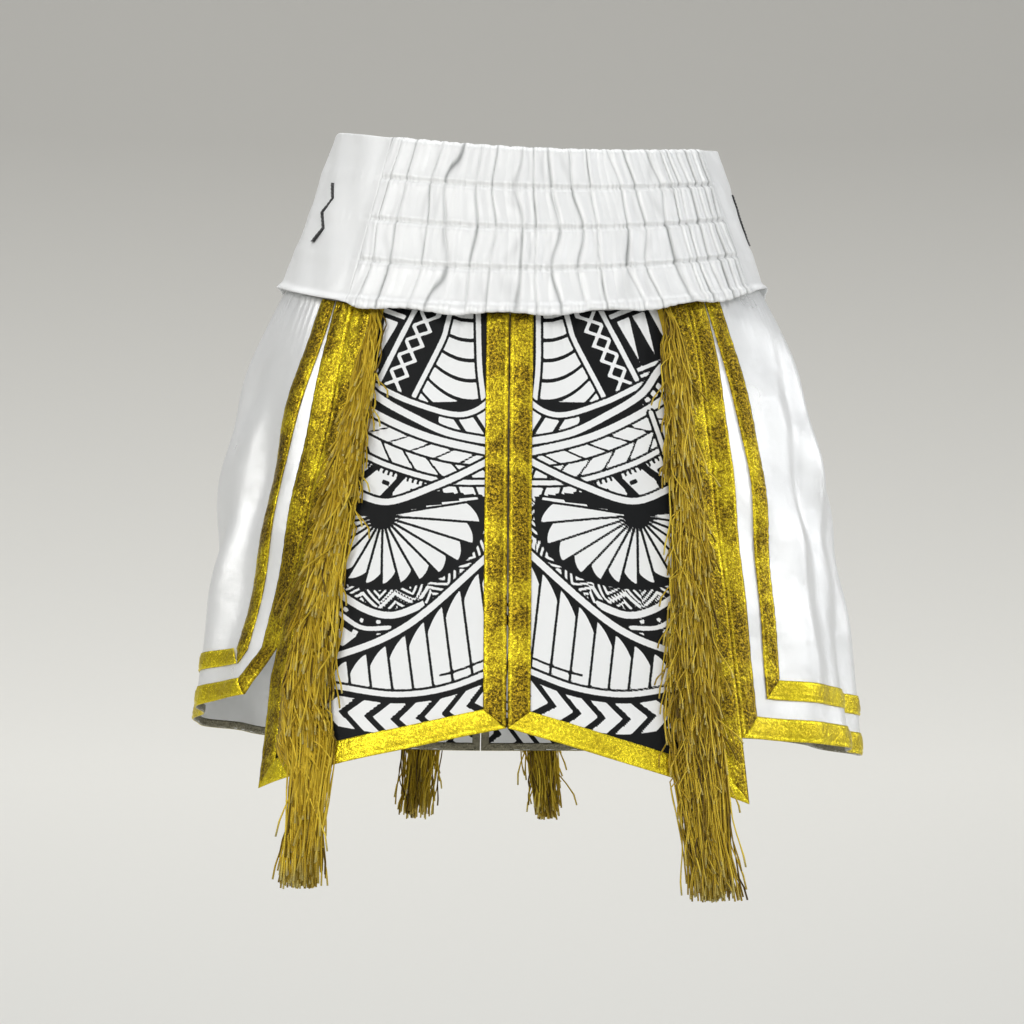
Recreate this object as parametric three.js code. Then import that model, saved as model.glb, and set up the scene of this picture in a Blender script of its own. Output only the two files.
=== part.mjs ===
// Split-panel boxing trunks: a wide elastic waistband, six gold-bound panels hung from it,
// four long fringes on the panel edges, and short inner shorts underneath.
// Millimetres, +Z up. -Y is the front. The origin is the middle of the waist opening, level
// with the band's top edge at the hips. Left and right are as seen from the front.
import * as THREE from "three";

// Body shape: ellipses around the wearer that widen downwards from the waist.
const WAIST_HALF_WIDTH = 134;
const WAIST_HALF_DEPTH = 86;
const HIP_HALF_WIDTH = 169;
const HIP_HALF_DEPTH = 112;
const FULLNESS_WIDTH = 26; // how far the panels billow out just below the band, at the sides
const FULLNESS_DEPTH = 12; // and at the front and back
const FULLNESS_DROP = 50;
const FLARE_WIDTH = 0.127; // steady widening per millimetre down the panels
const FLARE_DEPTH = 0.11;

// Waistband: top edge and lower seam, both lowest at the centre front.
const BAND_HEIGHT = 108; // at the hips
const RIM_DIP_FRONT = 28;
const RIM_DIP_BACK = 6;
const RIM_TILT = 0.035; // the band's left end sits a little higher
const SEAM_DIP_FRONT = 43;
const SEAM_DIP_BACK = 20;
const SEAM_TURN = 5; // degrees that the lowest point of the seam lies left of the middle
const DIP_ROUNDING = 1.5;
const BAND_FRONT_START = -43; // degrees round the body, 0 at the middle of the front
const BAND_FRONT_END = 58;
const BAND_BACK_START = 152;
const BAND_BACK_END = 223;
const ELASTIC_COUNT = 4;
const ELASTIC_HEIGHT = 22;
const MARK_HEIGHT = 40; // zigzag stitched on each flat side of the band
const MARK_WIDTH = 7;
const MARK_STROKE = 2.6;
const MARK_STROKES = 4;

// Panels. Angles are degrees round the body, heights are the lower edges.
const CENTRE_FRONT = -5.5;
const CENTRE_BACK = 180 - CENTRE_FRONT; // straight behind the centre of the front
const SLIT_LEFT_TOP = -42;
const SLIT_LEFT_SWEEP = 9.5; // the left slit drifts outwards on its way down
const SLIT_SWEEP_DROP = 264;
const SLIT_RIGHT = 35;
const BACK_PANEL_ANGLE = 20; // each back panel, from the centre to its slit
const SIDE_CORNER_SWEEP = 6.5; // the left side panel's front corner curls away from the slit
const SIDE_CORNER_HEIGHT = 31;
const HEM_FRONT_CENTRE = -440;
const HEM_FRONT_LEFT = -476;
const HEM_FRONT_RIGHT = -488;
const HEM_SIDE_LEFT_FRONT = -411;
const HEM_SIDE_LEFT_BACK = -436;
const HEM_SIDE_RIGHT_FRONT = -443;
const HEM_SIDE_RIGHT_BACK = -448;
const HEM_BACK = -430;
const CENTRE_GAP_TOP = 0.25; // degrees from the centre line to each panel's edge
const CENTRE_GAP_HEM = 0.6;
const SLIT_GAP = 0.4;

// Trim.
const BINDING_WIDTH = 15;
const STRIPE_WIDTH = 14;
const STRIPE_SPACE_TOP = 1.5; // open satin between the binding and the stripe at the top
const STRIPE_SPACE = 13; // and further down
const MITRE_GAP = 0.8; // between a side strip and the hem strip, where they meet at a corner
const TAPE_WIDTH = 8;
const FRINGE_WIDTH_TOP = 15;
const FRINGE_BELOW_HEM = 5;
const TAIL_GAP = 0.9; // open space that the tail turns in
// Each fringe by its panel: its width at the hem, how far it has left the slit's edge there
// by hanging straighter than the slit, and the height of its loose ends.
const FRINGES = {
  front_left: { widthAtHem: 38, shift: 36, tailEnd: -549 },
  front_right: { widthAtHem: 46, shift: 2, tailEnd: -558 },
  back_left: { widthAtHem: 34, shift: 6, tailEnd: -486 },
  back_right: { widthAtHem: 34, shift: 6, tailEnd: -486 },
};

// Inner shorts.
const LEG_HALF_WIDTH = 172; // both legs together, from the middle to the outside
const LEG_HALF_DEPTH = 100;
const LEG_HEM = -325;
const RISE_START = 0.2; // share of the height where the crotch curve begins
const RISE_END = 0.65;

// Cloth layers, as distances out from the body surface.
const CLEARANCE = 0.4;
const CLOTH = 0.8;
const LINING_FACE = -1;
const LINING_THICKNESS = 1.6;
const ELASTIC_THICKNESS = 1.8;
const BAND_THICKNESS = 1.6;
const FRINGE_THICKNESS_TOP = 3;
const FRINGE_THICKNESS = 6.4;
const TAIL_TOP_THICKNESS = 1.5;

const liningOuter = LINING_FACE + LINING_THICKNESS;
const elasticInner = liningOuter + CLEARANCE;
const elasticOuter = elasticInner + ELASTIC_THICKNESS;
const bandInner = elasticOuter + CLEARANCE;
const bandOuter = bandInner + BAND_THICKNESS;
const trimInner = CLOTH + CLEARANCE + 0.1;
const trimOuter = trimInner + CLOTH;
const fringeInner = trimOuter + CLEARANCE + 0.1;

const group = new THREE.Group();
const { lerp, clamp, smoothstep, degToRad } = THREE.MathUtils;

const satin = { color: 0xf3f5f5, roughness: 0.32, metalness: 0 };
const printedSatin = { color: 0xd9dadb, roughness: 0.42, metalness: 0 };
const goldFoil = { color: 0xc9a614, roughness: 0.3, metalness: 0.85 };
const goldThread = { color: 0xb8961e, roughness: 0.45, metalness: 0.4 };
const elastic = { color: 0xe9e9e6, roughness: 0.85, metalness: 0 };
const lining = { color: 0xe4e4e1, roughness: 0.7, metalness: 0 };
const stitching = { color: 0x101010, roughness: 0.5, metalness: 0 };

// ---------------------------------------------------------------- the body surface

function halfWidth(z) {
  if (z > -BAND_HEIGHT) return lerp(WAIST_HALF_WIDTH, HIP_HALF_WIDTH, -z / BAND_HEIGHT);
  const drop = -BAND_HEIGHT - z;
  return HIP_HALF_WIDTH + FULLNESS_WIDTH * (1 - Math.exp(-drop / FULLNESS_DROP)) + FLARE_WIDTH * drop;
}

function halfDepth(z) {
  if (z > -BAND_HEIGHT) return lerp(WAIST_HALF_DEPTH, HIP_HALF_DEPTH, -z / BAND_HEIGHT);
  const drop = -BAND_HEIGHT - z;
  return HIP_HALF_DEPTH + FULLNESS_DEPTH * (1 - Math.exp(-drop / FULLNESS_DROP)) + FLARE_DEPTH * drop;
}

function onBody(angle, z, offset) {
  const sin = Math.sin(degToRad(angle));
  const cos = Math.cos(degToRad(angle));
  const width = halfWidth(z);
  const depth = halfDepth(z);
  const out = new THREE.Vector2(sin / width, -cos / depth).normalize();
  return new THREE.Vector3(width * sin + offset * out.x, -depth * cos + offset * out.y, z);
}

// Dips smoothly from the hips to the middle of the front and of the back.
function dipAt(angle, front, back) {
  const cos = Math.cos(degToRad(angle));
  return (cos > 0 ? front : back) * Math.abs(cos) ** DIP_ROUNDING;
}

function rimHeight(angle) {
  const tilt = RIM_TILT * WAIST_HALF_WIDTH * Math.sin(degToRad(angle));
  return -tilt - dipAt(angle, RIM_DIP_FRONT, RIM_DIP_BACK);
}

function seamHeight(angle) {
  return -BAND_HEIGHT - dipAt(angle + SEAM_TURN, SEAM_DIP_FRONT, SEAM_DIP_BACK);
}

// ---------------------------------------------------------------- closed sheets of cloth

// pointAt(across, down, layer) gives a point of a sheet, with all three from 0 to 1 and
// layer 0 on the inner face. A looped sheet joins its last column to its first.
function sheetGeometry(pointAt, columns, rows, looped = false) {
  const positions = [];
  const lines = looped ? columns : columns + 1;
  for (let layer = 0; layer <= 1; layer += 1) {
    for (let row = 0; row <= rows; row += 1) {
      for (let line = 0; line < lines; line += 1) {
        positions.push(...pointAt(line / columns, row / rows, layer).toArray());
      }
    }
  }
  const vertex = (line, row, layer) => (layer * (rows + 1) + row) * lines + (line % lines);
  const index = [];
  const quad = (a, b, c, d) => index.push(a, b, c, a, c, d);
  for (let row = 0; row < rows; row += 1) {
    for (let line = 0; line < columns; line += 1) {
      const corners = [[line, row], [line, row + 1], [line + 1, row + 1], [line + 1, row]];
      quad(...corners.map(([l, r]) => vertex(l, r, 1)));
      quad(...corners.reverse().map(([l, r]) => vertex(l, r, 0)));
    }
  }
  const border = [];
  for (let line = 0; line < columns; line += 1) {
    border.push([[line + 1, 0], [line, 0]], [[line, rows], [line + 1, rows]]);
  }
  for (let row = 0; row < rows && !looped; row += 1) {
    border.push([[0, row], [0, row + 1]], [[columns, row + 1], [columns, row]]);
  }
  for (const [from, to] of border) {
    quad(vertex(...to, 1), vertex(...from, 1), vertex(...from, 0), vertex(...to, 0));
  }
  return facingOut(positions, index);
}

// Turns every face over when the enclosed volume comes out negative.
function facingOut(positions, index) {
  const corner = (i) => new THREE.Vector3().fromArray(positions, 3 * index[i]);
  let volume = 0;
  for (let i = 0; i < index.length; i += 3) {
    volume += corner(i).dot(corner(i + 1).cross(corner(i + 2)));
  }
  const geometry = new THREE.BufferGeometry();
  geometry.setAttribute("position", new THREE.Float32BufferAttribute(positions, 3));
  geometry.setIndex(volume > 0 ? index : index.reverse());
  geometry.computeVertexNormals();
  return geometry;
}

function addPiece(name, finish, geometry) {
  const mesh = new THREE.Mesh(geometry, new THREE.MeshStandardMaterial(finish));
  mesh.name = name;
  group.add(mesh);
}

// ---------------------------------------------------------------- waistband

// Every layer of the band runs straight from the rim to the seam.
function onBand(angle, share, offset) {
  const rim = onBody(angle, rimHeight(angle), offset);
  return rim.lerp(onBody(angle, seamHeight(angle), offset), share);
}

function bandSheet(startAngle, endAngle, top, bottom, inner, outer) {
  return (across, down, layer) =>
    onBand(lerp(startAngle, endAngle, across), lerp(top, bottom, down), lerp(inner, outer, layer));
}

const LOOP_COLUMNS = 52;
const bandGap = 0.12; // degrees between neighbouring pieces of the band
const bandPieces = [
  ["waistband_front", BAND_FRONT_START, BAND_FRONT_END, 22],
  ["waistband_side_right", BAND_FRONT_END, BAND_BACK_START, 20],
  ["waistband_back", BAND_BACK_START, BAND_BACK_END, 14],
  ["waistband_side_left", BAND_BACK_END, BAND_FRONT_START + 360, 20],
];
for (const [name, start, end, columns] of bandPieces) {
  const sheet = bandSheet(start + bandGap, end - bandGap, 0, 1, bandInner, bandOuter);
  addPiece(name, satin, sheetGeometry(sheet, columns, 2));
}

const liningSheet = bandSheet(0, 360, 0, 1, LINING_FACE, liningOuter);
addPiece("waistband_lining", lining, sheetGeometry(liningSheet, LOOP_COLUMNS, 2, true));

for (let row = 0; row < ELASTIC_COUNT; row += 1) {
  const middle = (row + 0.5) / ELASTIC_COUNT;
  const reach = ELASTIC_HEIGHT / 2 / (BAND_HEIGHT + SEAM_DIP_BACK - RIM_DIP_BACK);
  const sheet = bandSheet(0, 360, middle - reach, middle + reach, elasticInner, elasticOuter);
  addPiece(`elastic_${row + 1}`, elastic, sheetGeometry(sheet, LOOP_COLUMNS, 1, true));
}

// A zigzag of thick satin stitch, down the middle of each flat side of the band.
function zigzagMark(middleAngle) {
  const degreesPerMm = 180 / Math.PI / HIP_HALF_DEPTH;
  return (across, down, layer) => {
    const wave = 1 - Math.abs(((down * MARK_STROKES) % 2) - 1);
    const shift = MARK_WIDTH * (wave - 0.5) + MARK_STROKE * (across - 0.5);
    const angle = middleAngle + shift * degreesPerMm;
    const share = 0.5 + (down - 0.5) * (MARK_HEIGHT / BAND_HEIGHT);
    return onBand(angle, share, bandOuter + CLEARANCE + lerp(0, CLOTH, layer));
  };
}
addPiece("side_mark_left", stitching, sheetGeometry(zigzagMark(-64), 1, 2 * MARK_STROKES));
addPiece("side_mark_right", stitching, sheetGeometry(zigzagMark(82), 1, 2 * MARK_STROKES));

// ---------------------------------------------------------------- panel outlines

const slitLeft = (z) => {
  const drop = (seamHeight(SLIT_LEFT_TOP) - z) / SLIT_SWEEP_DROP;
  return SLIT_LEFT_TOP - SLIT_LEFT_SWEEP * clamp(drop, 0, 1) ** 2;
};
const sideFrontLeft = (z) => {
  const curl = (HEM_SIDE_LEFT_FRONT + SIDE_CORNER_HEIGHT - z) / SIDE_CORNER_HEIGHT;
  return slitLeft(z) - SLIT_GAP - SIDE_CORNER_SWEEP * Math.max(0, curl);
};
const centreGap = (z) => lerp(CENTRE_GAP_TOP, CENTRE_GAP_HEM, z / HEM_FRONT_CENTRE);
const steady = (angle) => () => angle;
const backSlitLeft = CENTRE_BACK - 360 + BACK_PANEL_ANGLE;
const backSlitRight = CENTRE_BACK - BACK_PANEL_ANGLE;

// Each panel runs from a start edge to an end edge; the edges give an angle for a height.
const panels = {
  front_left: {
    start: slitLeft, end: (z) => CENTRE_FRONT - centreGap(z),
    hemStart: HEM_FRONT_LEFT, hemEnd: HEM_FRONT_CENTRE, columns: 11,
  },
  front_right: {
    start: steady(SLIT_RIGHT), end: (z) => CENTRE_FRONT + centreGap(z),
    hemStart: HEM_FRONT_RIGHT, hemEnd: HEM_FRONT_CENTRE, columns: 11,
  },
  side_left: {
    start: sideFrontLeft, end: steady(backSlitLeft + SLIT_GAP),
    hemStart: HEM_SIDE_LEFT_FRONT, hemEnd: HEM_SIDE_LEFT_BACK, columns: 21,
  },
  side_right: {
    start: steady(SLIT_RIGHT + SLIT_GAP), end: steady(backSlitRight - SLIT_GAP),
    hemStart: HEM_SIDE_RIGHT_FRONT, hemEnd: HEM_SIDE_RIGHT_BACK, columns: 22,
  },
  back_left: {
    start: steady(backSlitLeft), end: (z) => CENTRE_BACK - 360 + centreGap(z),
    hemStart: HEM_BACK, hemEnd: HEM_BACK, columns: 5,
  },
  back_right: {
    start: steady(backSlitRight), end: (z) => CENTRE_BACK - centreGap(z),
    hemStart: HEM_BACK, hemEnd: HEM_BACK, columns: 5,
  },
};

const panelRows = 9;
const rowSpacing = (share) => share ** 1.4; // closer rows near the seam, where the cloth curves most

function panelPoint(panel, across, down, offset) {
  const heightAt = (edge, hem) => lerp(seamHeight(edge(-BAND_HEIGHT)), hem, down);
  const startAngle = panel.start(heightAt(panel.start, panel.hemStart));
  const endAngle = panel.end(heightAt(panel.end, panel.hemEnd));
  const angle = lerp(startAngle, endAngle, across);
  const top = seamHeight(angle) - CLEARANCE;
  return onBody(angle, lerp(top, lerp(panel.hemStart, panel.hemEnd, across), down), offset);
}

// Shares of the panel's width and height that one millimetre takes at a place on it.
function acrossPerMm(panel, across, down) {
  const step = 0.002;
  const from = panelPoint(panel, across - step, down, 0);
  return (2 * step) / from.distanceTo(panelPoint(panel, across + step, down, 0));
}
function downPerMm(panel, across, down) {
  const step = 0.002;
  const from = panelPoint(panel, across, down - step, 0);
  return (2 * step) / from.distanceTo(panelPoint(panel, across, down + step, 0));
}

// A strip along one side edge, between two insets, mitred to meet the hem strip.
// atEnd picks the panel's end edge instead of its start edge.
function sideStrip(panel, atEnd, insetAt, width, inner, outer) {
  return (across, share, layer) => {
    const inset = insetAt(share) + width * across;
    const mitre = insetAt(1) + width * across + MITRE_GAP;
    const down = rowSpacing(share) * (1 - mitre * downPerMm(panel, atEnd ? 1 : 0, 1));
    const place = inset * acrossPerMm(panel, atEnd ? 1 : 0, down);
    return panelPoint(panel, atEnd ? 1 - place : place, down, lerp(inner, outer, layer));
  };
}

function hemStrip(panel, hemInset, width, inner, outer) {
  return (share, depth, layer) => {
    const inset = hemInset + width * depth;
    const endPlace = (edge) => (inset + MITRE_GAP) * acrossPerMm(panel, edge, 1 - inset * downPerMm(panel, edge, 1));
    const first = endPlace(0);
    const last = 1 - endPlace(1);
    const across = lerp(first, last, share);
    const down = 1 - inset * downPerMm(panel, across, 1);
    return panelPoint(panel, across, down, lerp(inner, outer, layer));
  };
}

// A wide strip gets more columns, so that it still follows the curve of the panel under it.
const stripColumns = (width) => Math.ceil(width / 16);
const hemColumns = (panel) => 2 * panel.columns; // so that it stays clear of the panel inside its curve

function addPanel(name, finish) {
  const panel = panels[name];
  const sheet = (across, share, layer) => panelPoint(panel, across, rowSpacing(share), lerp(0, CLOTH, layer));
  addPiece(`${name}_panel`, finish, sheetGeometry(sheet, panel.columns, panelRows));
}

function addBinding(name, startName, endName) {
  const panel = panels[name];
  const edge = steady(0);
  const start = sideStrip(panel, false, edge, BINDING_WIDTH, trimInner, trimOuter);
  const end = sideStrip(panel, true, edge, BINDING_WIDTH, trimInner, trimOuter);
  const hem = hemStrip(panel, 0, BINDING_WIDTH, trimInner, trimOuter);
  addPiece(`${name}_${startName}_binding`, goldFoil, sheetGeometry(start, stripColumns(BINDING_WIDTH), panelRows));
  addPiece(`${name}_${endName}_binding`, goldFoil, sheetGeometry(end, stripColumns(BINDING_WIDTH), panelRows));
  addPiece(`${name}_hem_binding`, goldFoil, sheetGeometry(hem, hemColumns(panel), stripColumns(BINDING_WIDTH)));
}

// ---------------------------------------------------------------- fringed panels

function fringePoint(name, across, share, offset) {
  const panel = panels[name];
  const { widthAtHem, shift } = FRINGES[name];
  const reach = 1 + FRINGE_BELOW_HEM * downPerMm(panel, 0, 1);
  const down = lerp(FRINGE_BELOW_HEM * downPerMm(panel, 0, 0), reach, rowSpacing(share));
  const drift = 1 + shift * smoothstep(share, 0.4, 1);
  const inset = drift + lerp(FRINGE_WIDTH_TOP, widthAtHem, share) * across;
  return panelPoint(panel, inset * acrossPerMm(panel, 0, down), down, offset);
}

function addFringe(name) {
  const panel = panels[name];
  const tape = sideStrip(panel, false, steady(BINDING_WIDTH + CLEARANCE), TAPE_WIDTH, trimInner, trimOuter);
  addPiece(`${name}_fringe_tape`, goldThread, sheetGeometry(tape, stripColumns(TAPE_WIDTH), panelRows));

  const column = (across, share, layer) => {
    const thickness = lerp(FRINGE_THICKNESS_TOP, FRINGE_THICKNESS, share);
    return fringePoint(name, across, share, fringeInner + thickness * layer);
  };
  addPiece(`${name}_fringe`, goldThread, sheetGeometry(column, 3, panelRows));

  // The tail hangs straight down from the column's end, and is thin where it bends.
  const tail = (across, share, layer) => {
    const thickness = lerp(TAIL_TOP_THICKNESS, FRINGE_THICKNESS, clamp(share * 3, 0, 1));
    const middle = fringeInner + FRINGE_THICKNESS / 2;
    const point = fringePoint(name, across, 1, middle + thickness * (layer - 0.5));
    return point.setZ(lerp(point.z - TAIL_GAP, FRINGES[name].tailEnd, share));
  };
  addPiece(`${name}_fringe_tail`, goldThread, sheetGeometry(tail, 3, 4));
}

for (const name of Object.keys(FRINGES)) {
  addPanel(name, printedSatin);
  addBinding(name, "outer", "centre");
  addFringe(name);
}

// ---------------------------------------------------------------- side panels

function addStripes(name) {
  const panel = panels[name];
  const inset = (share) => BINDING_WIDTH + lerp(STRIPE_SPACE_TOP, STRIPE_SPACE, smoothstep(share, 0, 0.5));
  const front = sideStrip(panel, false, inset, STRIPE_WIDTH, trimInner, trimOuter);
  const back = sideStrip(panel, true, inset, STRIPE_WIDTH, trimInner, trimOuter);
  const hem = hemStrip(panel, BINDING_WIDTH + STRIPE_SPACE, STRIPE_WIDTH, trimInner, trimOuter);
  addPiece(`${name}_front_stripe`, goldFoil, sheetGeometry(front, stripColumns(STRIPE_WIDTH), panelRows));
  addPiece(`${name}_back_stripe`, goldFoil, sheetGeometry(back, stripColumns(STRIPE_WIDTH), panelRows));
  addPiece(`${name}_hem_stripe`, goldFoil, sheetGeometry(hem, hemColumns(panel), stripColumns(STRIPE_WIDTH)));
}

for (const name of ["side_left", "side_right"]) {
  addPanel(name, satin);
  addBinding(name, "front", "back");
  addStripes(name);
}

// ---------------------------------------------------------------- inner shorts

// Each leg piece starts as a quarter of the waist ellipse and closes into half of a leg tube:
// the section's end angle opens from 90 degrees at the waist to 180 degrees at the crotch.
function legPiece(side, facing) {
  return (across, down, layer) => {
    const bodyAngle = side * (facing > 0 ? 180 - 90 * across : 90 * across);
    const top = seamHeight(bodyAngle) - CLEARANCE;
    const settle = smoothstep(down, 0, 0.5);
    const width = lerp(halfWidth(top) - 2 * CLEARANCE, LEG_HALF_WIDTH, settle);
    const depth = lerp(halfDepth(top) - 2 * CLEARANCE, LEG_HALF_DEPTH, settle);
    const opening = degToRad(90 + 90 * smoothstep(down, RISE_START, RISE_END));
    const radius = width / (1 - Math.cos(opening));
    const section = opening * (1 - across);
    const thin = CLOTH * (1 - layer);
    const x = width - radius + (radius - thin) * Math.cos(section) + CLEARANCE / 2;
    const y = (depth - thin) * Math.sin(section) + CLEARANCE / 2;
    return new THREE.Vector3(side * x, facing * y, lerp(top, LEG_HEM, down));
  };
}

for (const [face, facing] of [["front", -1], ["back", 1]]) {
  for (const [hand, side] of [["left", -1], ["right", 1]]) {
    addPiece(`inner_${face}_${hand}`, lining, sheetGeometry(legPiece(side, facing), 9, 9));
  }
}

export default group;
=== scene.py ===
from math import radians
import bpy
import numpy as np
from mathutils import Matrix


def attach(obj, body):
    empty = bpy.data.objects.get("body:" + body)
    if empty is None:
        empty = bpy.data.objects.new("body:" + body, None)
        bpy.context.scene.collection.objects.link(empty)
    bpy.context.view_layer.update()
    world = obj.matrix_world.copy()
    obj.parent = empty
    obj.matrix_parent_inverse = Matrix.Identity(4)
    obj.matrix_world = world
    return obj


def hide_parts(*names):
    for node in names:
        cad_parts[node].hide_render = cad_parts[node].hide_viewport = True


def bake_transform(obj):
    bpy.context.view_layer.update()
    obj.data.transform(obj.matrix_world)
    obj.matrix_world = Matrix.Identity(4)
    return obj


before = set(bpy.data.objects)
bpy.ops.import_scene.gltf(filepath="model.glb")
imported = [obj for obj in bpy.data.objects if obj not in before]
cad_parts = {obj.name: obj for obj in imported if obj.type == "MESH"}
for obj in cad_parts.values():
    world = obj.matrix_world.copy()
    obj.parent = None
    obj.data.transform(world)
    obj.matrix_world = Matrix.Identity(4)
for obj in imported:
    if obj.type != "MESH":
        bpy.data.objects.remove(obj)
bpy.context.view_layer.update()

# Split-panel boxing trunks, in metres. +Z is up out of the waist, -Y is the front, and the
# origin is the middle of the waist opening. Left is -X, as seen from the front.

# ---------------- camera
# A long lens from a little below and to the left of the front.
camera = bpy.data.objects.new("camera", bpy.data.cameras.new("camera"))
bpy.context.collection.objects.link(camera)
bpy.context.scene.camera = camera
camera_distance = 2.4
camera_turn, camera_tilt = radians(-3.7), radians(-8.5)
camera_aim = np.array([-0.009, 0.0, -0.271])
camera_side = np.array([np.sin(camera_turn) * np.cos(camera_tilt),
                        -np.cos(camera_turn) * np.cos(camera_tilt),
                        np.sin(camera_tilt)])
camera.location = camera_aim + camera_side * camera_distance
camera.rotation_euler = (radians(90) - camera_tilt, 0, camera_turn)
camera.data.lens = 117.2
camera.data.clip_end = 50

# ---------------- studio
# A pale floor that curves up into a round wall, and soft lamps close above and in front.
# A piece of cloth is an outer and an inner grid of points, sewn together round the border.
# Its UV map "cloth" holds the flat lengths in metres: across, then down.
def build_mesh(name, points, faces, uv, marks=None):
    mesh = bpy.data.meshes.new(name)
    mesh.vertices.add(len(points))
    mesh.vertices.foreach_set("co", np.asarray(points, np.float32).ravel())
    faces = np.asarray(faces)
    mesh.loops.add(faces.size)
    mesh.loops.foreach_set("vertex_index", faces.ravel().astype(np.int32))
    mesh.polygons.add(len(faces))
    starts = np.arange(0, faces.size, faces.shape[1], dtype=np.int32)
    mesh.polygons.foreach_set("loop_start", starts)
    mesh.update(calc_edges=True)
    layer = mesh.uv_layers.new(name="cloth")
    layer.data.foreach_set("uv", np.asarray(uv, np.float32)[faces.ravel()].ravel())
    for label, values in (marks or {}).items():
        attribute = mesh.attributes.new(label, "FLOAT", "POINT")
        attribute.data.foreach_set("value", np.asarray(values, np.float32).ravel())
    mesh.shade_smooth()
    piece = bpy.data.objects.new(name, mesh)
    bpy.context.collection.objects.link(piece)
    return piece


def enclosed_volume(points, faces):
    a, b, c = (points[faces[:, i]] for i in range(3))
    total = np.einsum("ij,ij->i", a, np.cross(b, c)).sum()
    if faces.shape[1] == 4:
        total += np.einsum("ij,ij->i", a, np.cross(c, points[faces[:, 3]])).sum()
    return total


def sew_cloth(name, outer, inner, looped=False, marks=None):
    rows, lines = outer.shape[:2]
    points = np.concatenate([outer.reshape(-1, 3), inner.reshape(-1, 3)])
    across = np.linalg.norm(np.diff(outer, axis=1), axis=2).mean(axis=0)
    down = np.linalg.norm(np.diff(outer, axis=0), axis=2).mean(axis=1)
    flat = np.stack(np.meshgrid(np.r_[0, across.cumsum()], np.r_[0, down.cumsum()]), axis=-1)
    uv = np.concatenate([flat.reshape(-1, 2)] * 2)
    row, line = np.meshgrid(np.arange(rows - 1), np.arange(lines if looped else lines - 1), indexing="ij")
    row, line = row.ravel(), line.ravel()
    index = lambda r, l: r * lines + l % lines
    face = np.stack([index(row, line), index(row + 1, line),
                     index(row + 1, line + 1), index(row, line + 1)], 1)
    offset = rows * lines
    faces = [face, face[:, ::-1] + offset]
    edge = np.arange(lines if looped else lines - 1)
    for r, turn in ((0, 1), (rows - 1, -1)):
        near, far = index(r, edge), index(r, edge + 1)
        rim = np.stack([near, far, far + offset, near + offset], 1)
        faces.append(rim[:, ::turn])
    if not looped:
        edge = np.arange(rows - 1)
        for l, turn in ((0, -1), (lines - 1, 1)):
            near, far = index(edge, l), index(edge + 1, l)
            rim = np.stack([near, far, far + offset, near + offset], 1)
            faces.append(rim[:, ::turn])
    faces = np.concatenate(faces)
    if enclosed_volume(points, faces) < 0:
        faces = faces[:, ::-1]
    doubled = {label: np.concatenate([values.ravel()] * 2) for label, values in (marks or {}).items()}
    return build_mesh(name, points, faces, uv, doubled)


# Each material is a Principled shader. Patterns read the piece's flat "cloth" UV map or its own
# Object coordinates, so they stay on the cloth when it moves.
def start_material(name, **sockets):
    material = bpy.data.materials.new(name)
    material.use_nodes = True
    shader = material.node_tree.nodes["Principled BSDF"]
    for socket, value in sockets.items():
        shader.inputs[socket.replace("_", " ")].default_value = value
    return material, material.node_tree, shader


def add_node(tree, kind, *inputs, **settings):
    made = tree.nodes.new("ShaderNode" + kind)
    for setting, value in settings.items():
        setattr(made, setting, value)
    for socket, value in zip(made.inputs, inputs):
        if isinstance(value, bpy.types.NodeSocket):
            tree.links.new(value, socket)
        elif value is not None:
            socket.default_value = value
    return made.outputs[0]


def calc(tree, operation, first, second=0.0, third=0.0):
    return add_node(tree, "Math", first, second, third, operation=operation)


def blend_colour(tree, share, first, second):
    made = tree.nodes.new("ShaderNodeMix")
    made.data_type = "RGBA"
    for socket, value in ((0, share), (6, first), (7, second)):
        if isinstance(value, bpy.types.NodeSocket):
            tree.links.new(value, made.inputs[socket])
        else:
            made.inputs[socket].default_value = value
    return made.outputs[2]


def spread(tree, value, low, high, to_low=0.0, to_high=1.0):
    return add_node(tree, "MapRange", value, low, high, to_low, to_high)


def noise(tree, where, scale, detail=2.0, roughness=0.5):
    made = tree.nodes.new("ShaderNodeTexNoise")
    tree.links.new(where, made.inputs["Vector"])
    for socket, value in (("Scale", scale), ("Detail", detail), ("Roughness", roughness)):
        made.inputs[socket].default_value = value
    return made.outputs["Fac"]


def object_place(tree):
    return tree.nodes.new("ShaderNodeTexCoord").outputs["Object"]


def studio_material():
    material, tree, shader = start_material("studio_paper", Roughness=0.95, Specular_IOR_Level=0.1)
    axes = tree.nodes.new("ShaderNodeSeparateXYZ")
    tree.links.new(object_place(tree), axes.inputs[0])
    grain = noise(tree, object_place(tree), 60, 4)
    # The paper's colour changes with height, as painted shade standing in for how the lamps light the
    # backdrop: a little darker on the floor, lightest low on the wall and much darker towards the top.
    near_floor = spread(tree, axes.outputs[2], -0.75, -0.15)
    floor_and_cove_shading = blend_colour(tree, near_floor, (0.70, 0.695, 0.67, 1), (0.81, 0.80, 0.765, 1))
    colour = blend_colour(tree, spread(tree, axes.outputs[2], -0.1, 1.6), floor_and_cove_shading, (0.49, 0.48, 0.455, 1))
    tint = spread(tree, grain, 0.3, 0.7, 0.985, 1.0)
    tree.links.new(blend_colour(tree, tint, (0.5, 0.5, 0.5, 1), colour), shader.inputs["Base Color"])
    return material


floor_height, flat_radius, cove = -0.75, 2.7, 3.6
turns = np.linspace(0, 2 * np.pi, 97)
bend = np.linspace(0, np.pi / 2, 49)
profile = np.stack([flat_radius + cove * np.sin(bend), floor_height + cove * (1 - np.cos(bend))], 1)
profile = np.vstack([[(0.0, floor_height)], profile])
ring = np.stack([profile[:, None, 0] * np.cos(turns), profile[:, None, 0] * np.sin(turns),
                 np.repeat(profile[:, 1:2], len(turns), axis=1)], -1)
studio = sew_cloth("studio", ring, ring + np.array([0, 0, -0.02]))
studio.data.materials.append(studio_material())

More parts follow.
